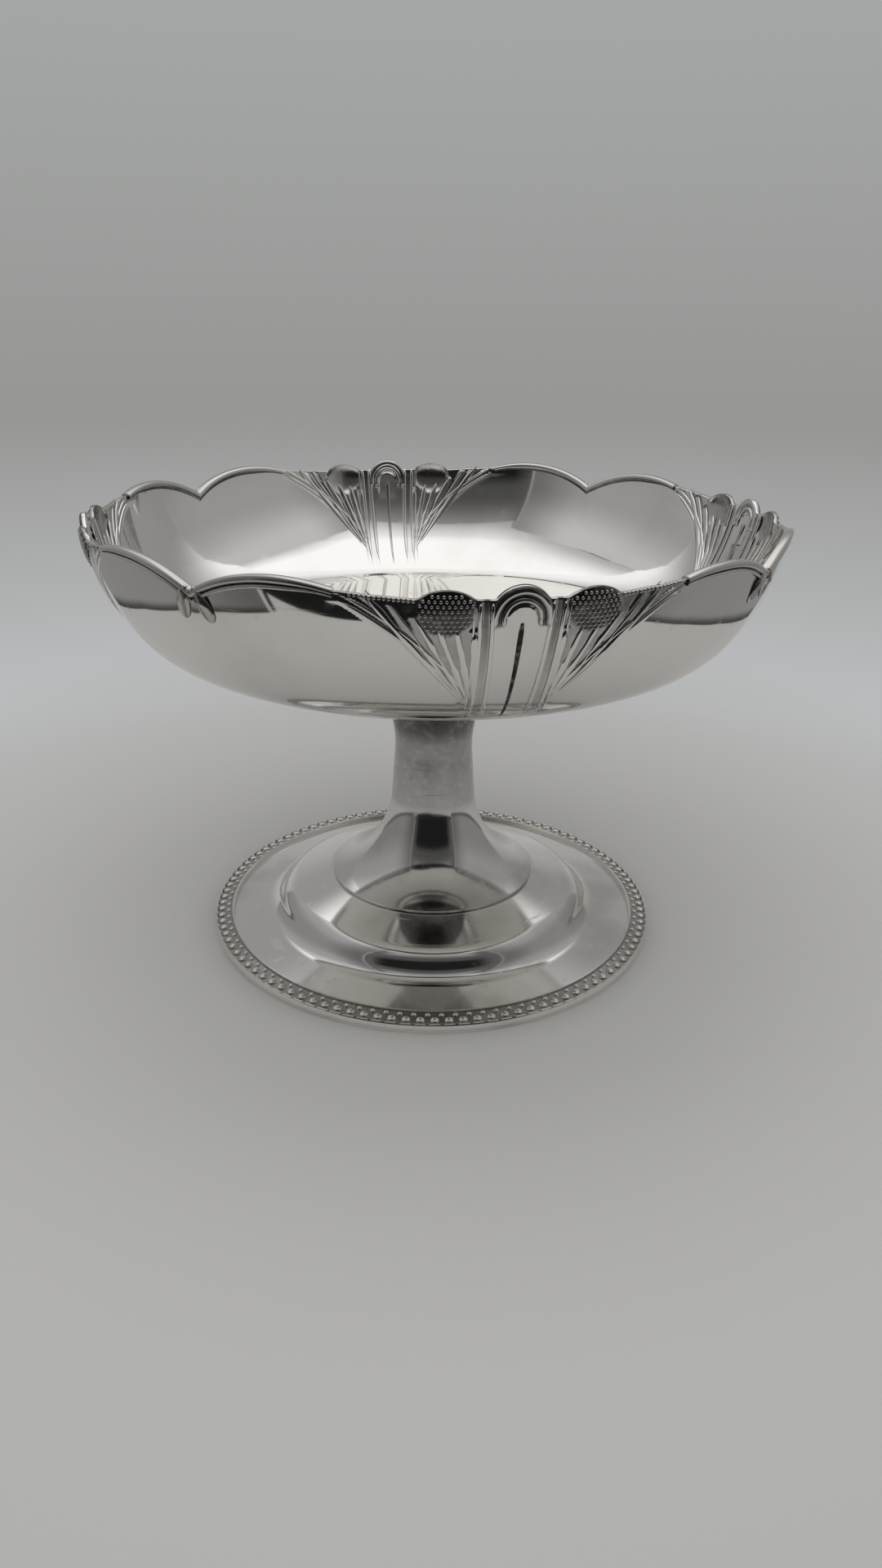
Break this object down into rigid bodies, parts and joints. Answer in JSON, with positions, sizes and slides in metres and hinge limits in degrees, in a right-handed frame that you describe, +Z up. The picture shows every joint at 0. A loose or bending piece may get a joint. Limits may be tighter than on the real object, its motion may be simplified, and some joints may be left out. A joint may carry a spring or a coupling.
{
  "type": "footed compote bowl",
  "caption": "Shallow bowl with a scalloped rim and stamped arch panels on a hollow waisted stem and a stepped round foot, for serving fruit or sweets.",
  "frame": {"origin": "centre of the foot on the surface that it stands on", "axes": "+Z up along the stem; -Y towards the middle of one arched panel"},
  "size_m": [0.2314, 0.2314, 0.155],
  "materials": {
    "silver_plate": "polished silver plate on nickel silver",
    "silver_plate_trim": "polished silver plate, slightly darkened in the recesses",
    "inner_brass": "plain turned brass",
    "inner_steel": "plain threaded steel"
  },
  "bodies": {
    "root": {"bowl": "silver_plate", "rim_border_1": "silver_plate_trim", "rim_border_2": "silver_plate_trim", "rim_border_3": "silver_plate_trim", "rim_border_4": "silver_plate_trim", "bowl_boss": "inner_brass", "tie_rod": "inner_steel", "stem": "silver_plate", "foot": "silver_plate", "foot_border": "silver_plate_trim", "base_ring": "silver_plate", "clamp_disc": "inner_brass", "washer": "inner_steel", "nut": "inner_steel"}
  },
  "joints": []
}
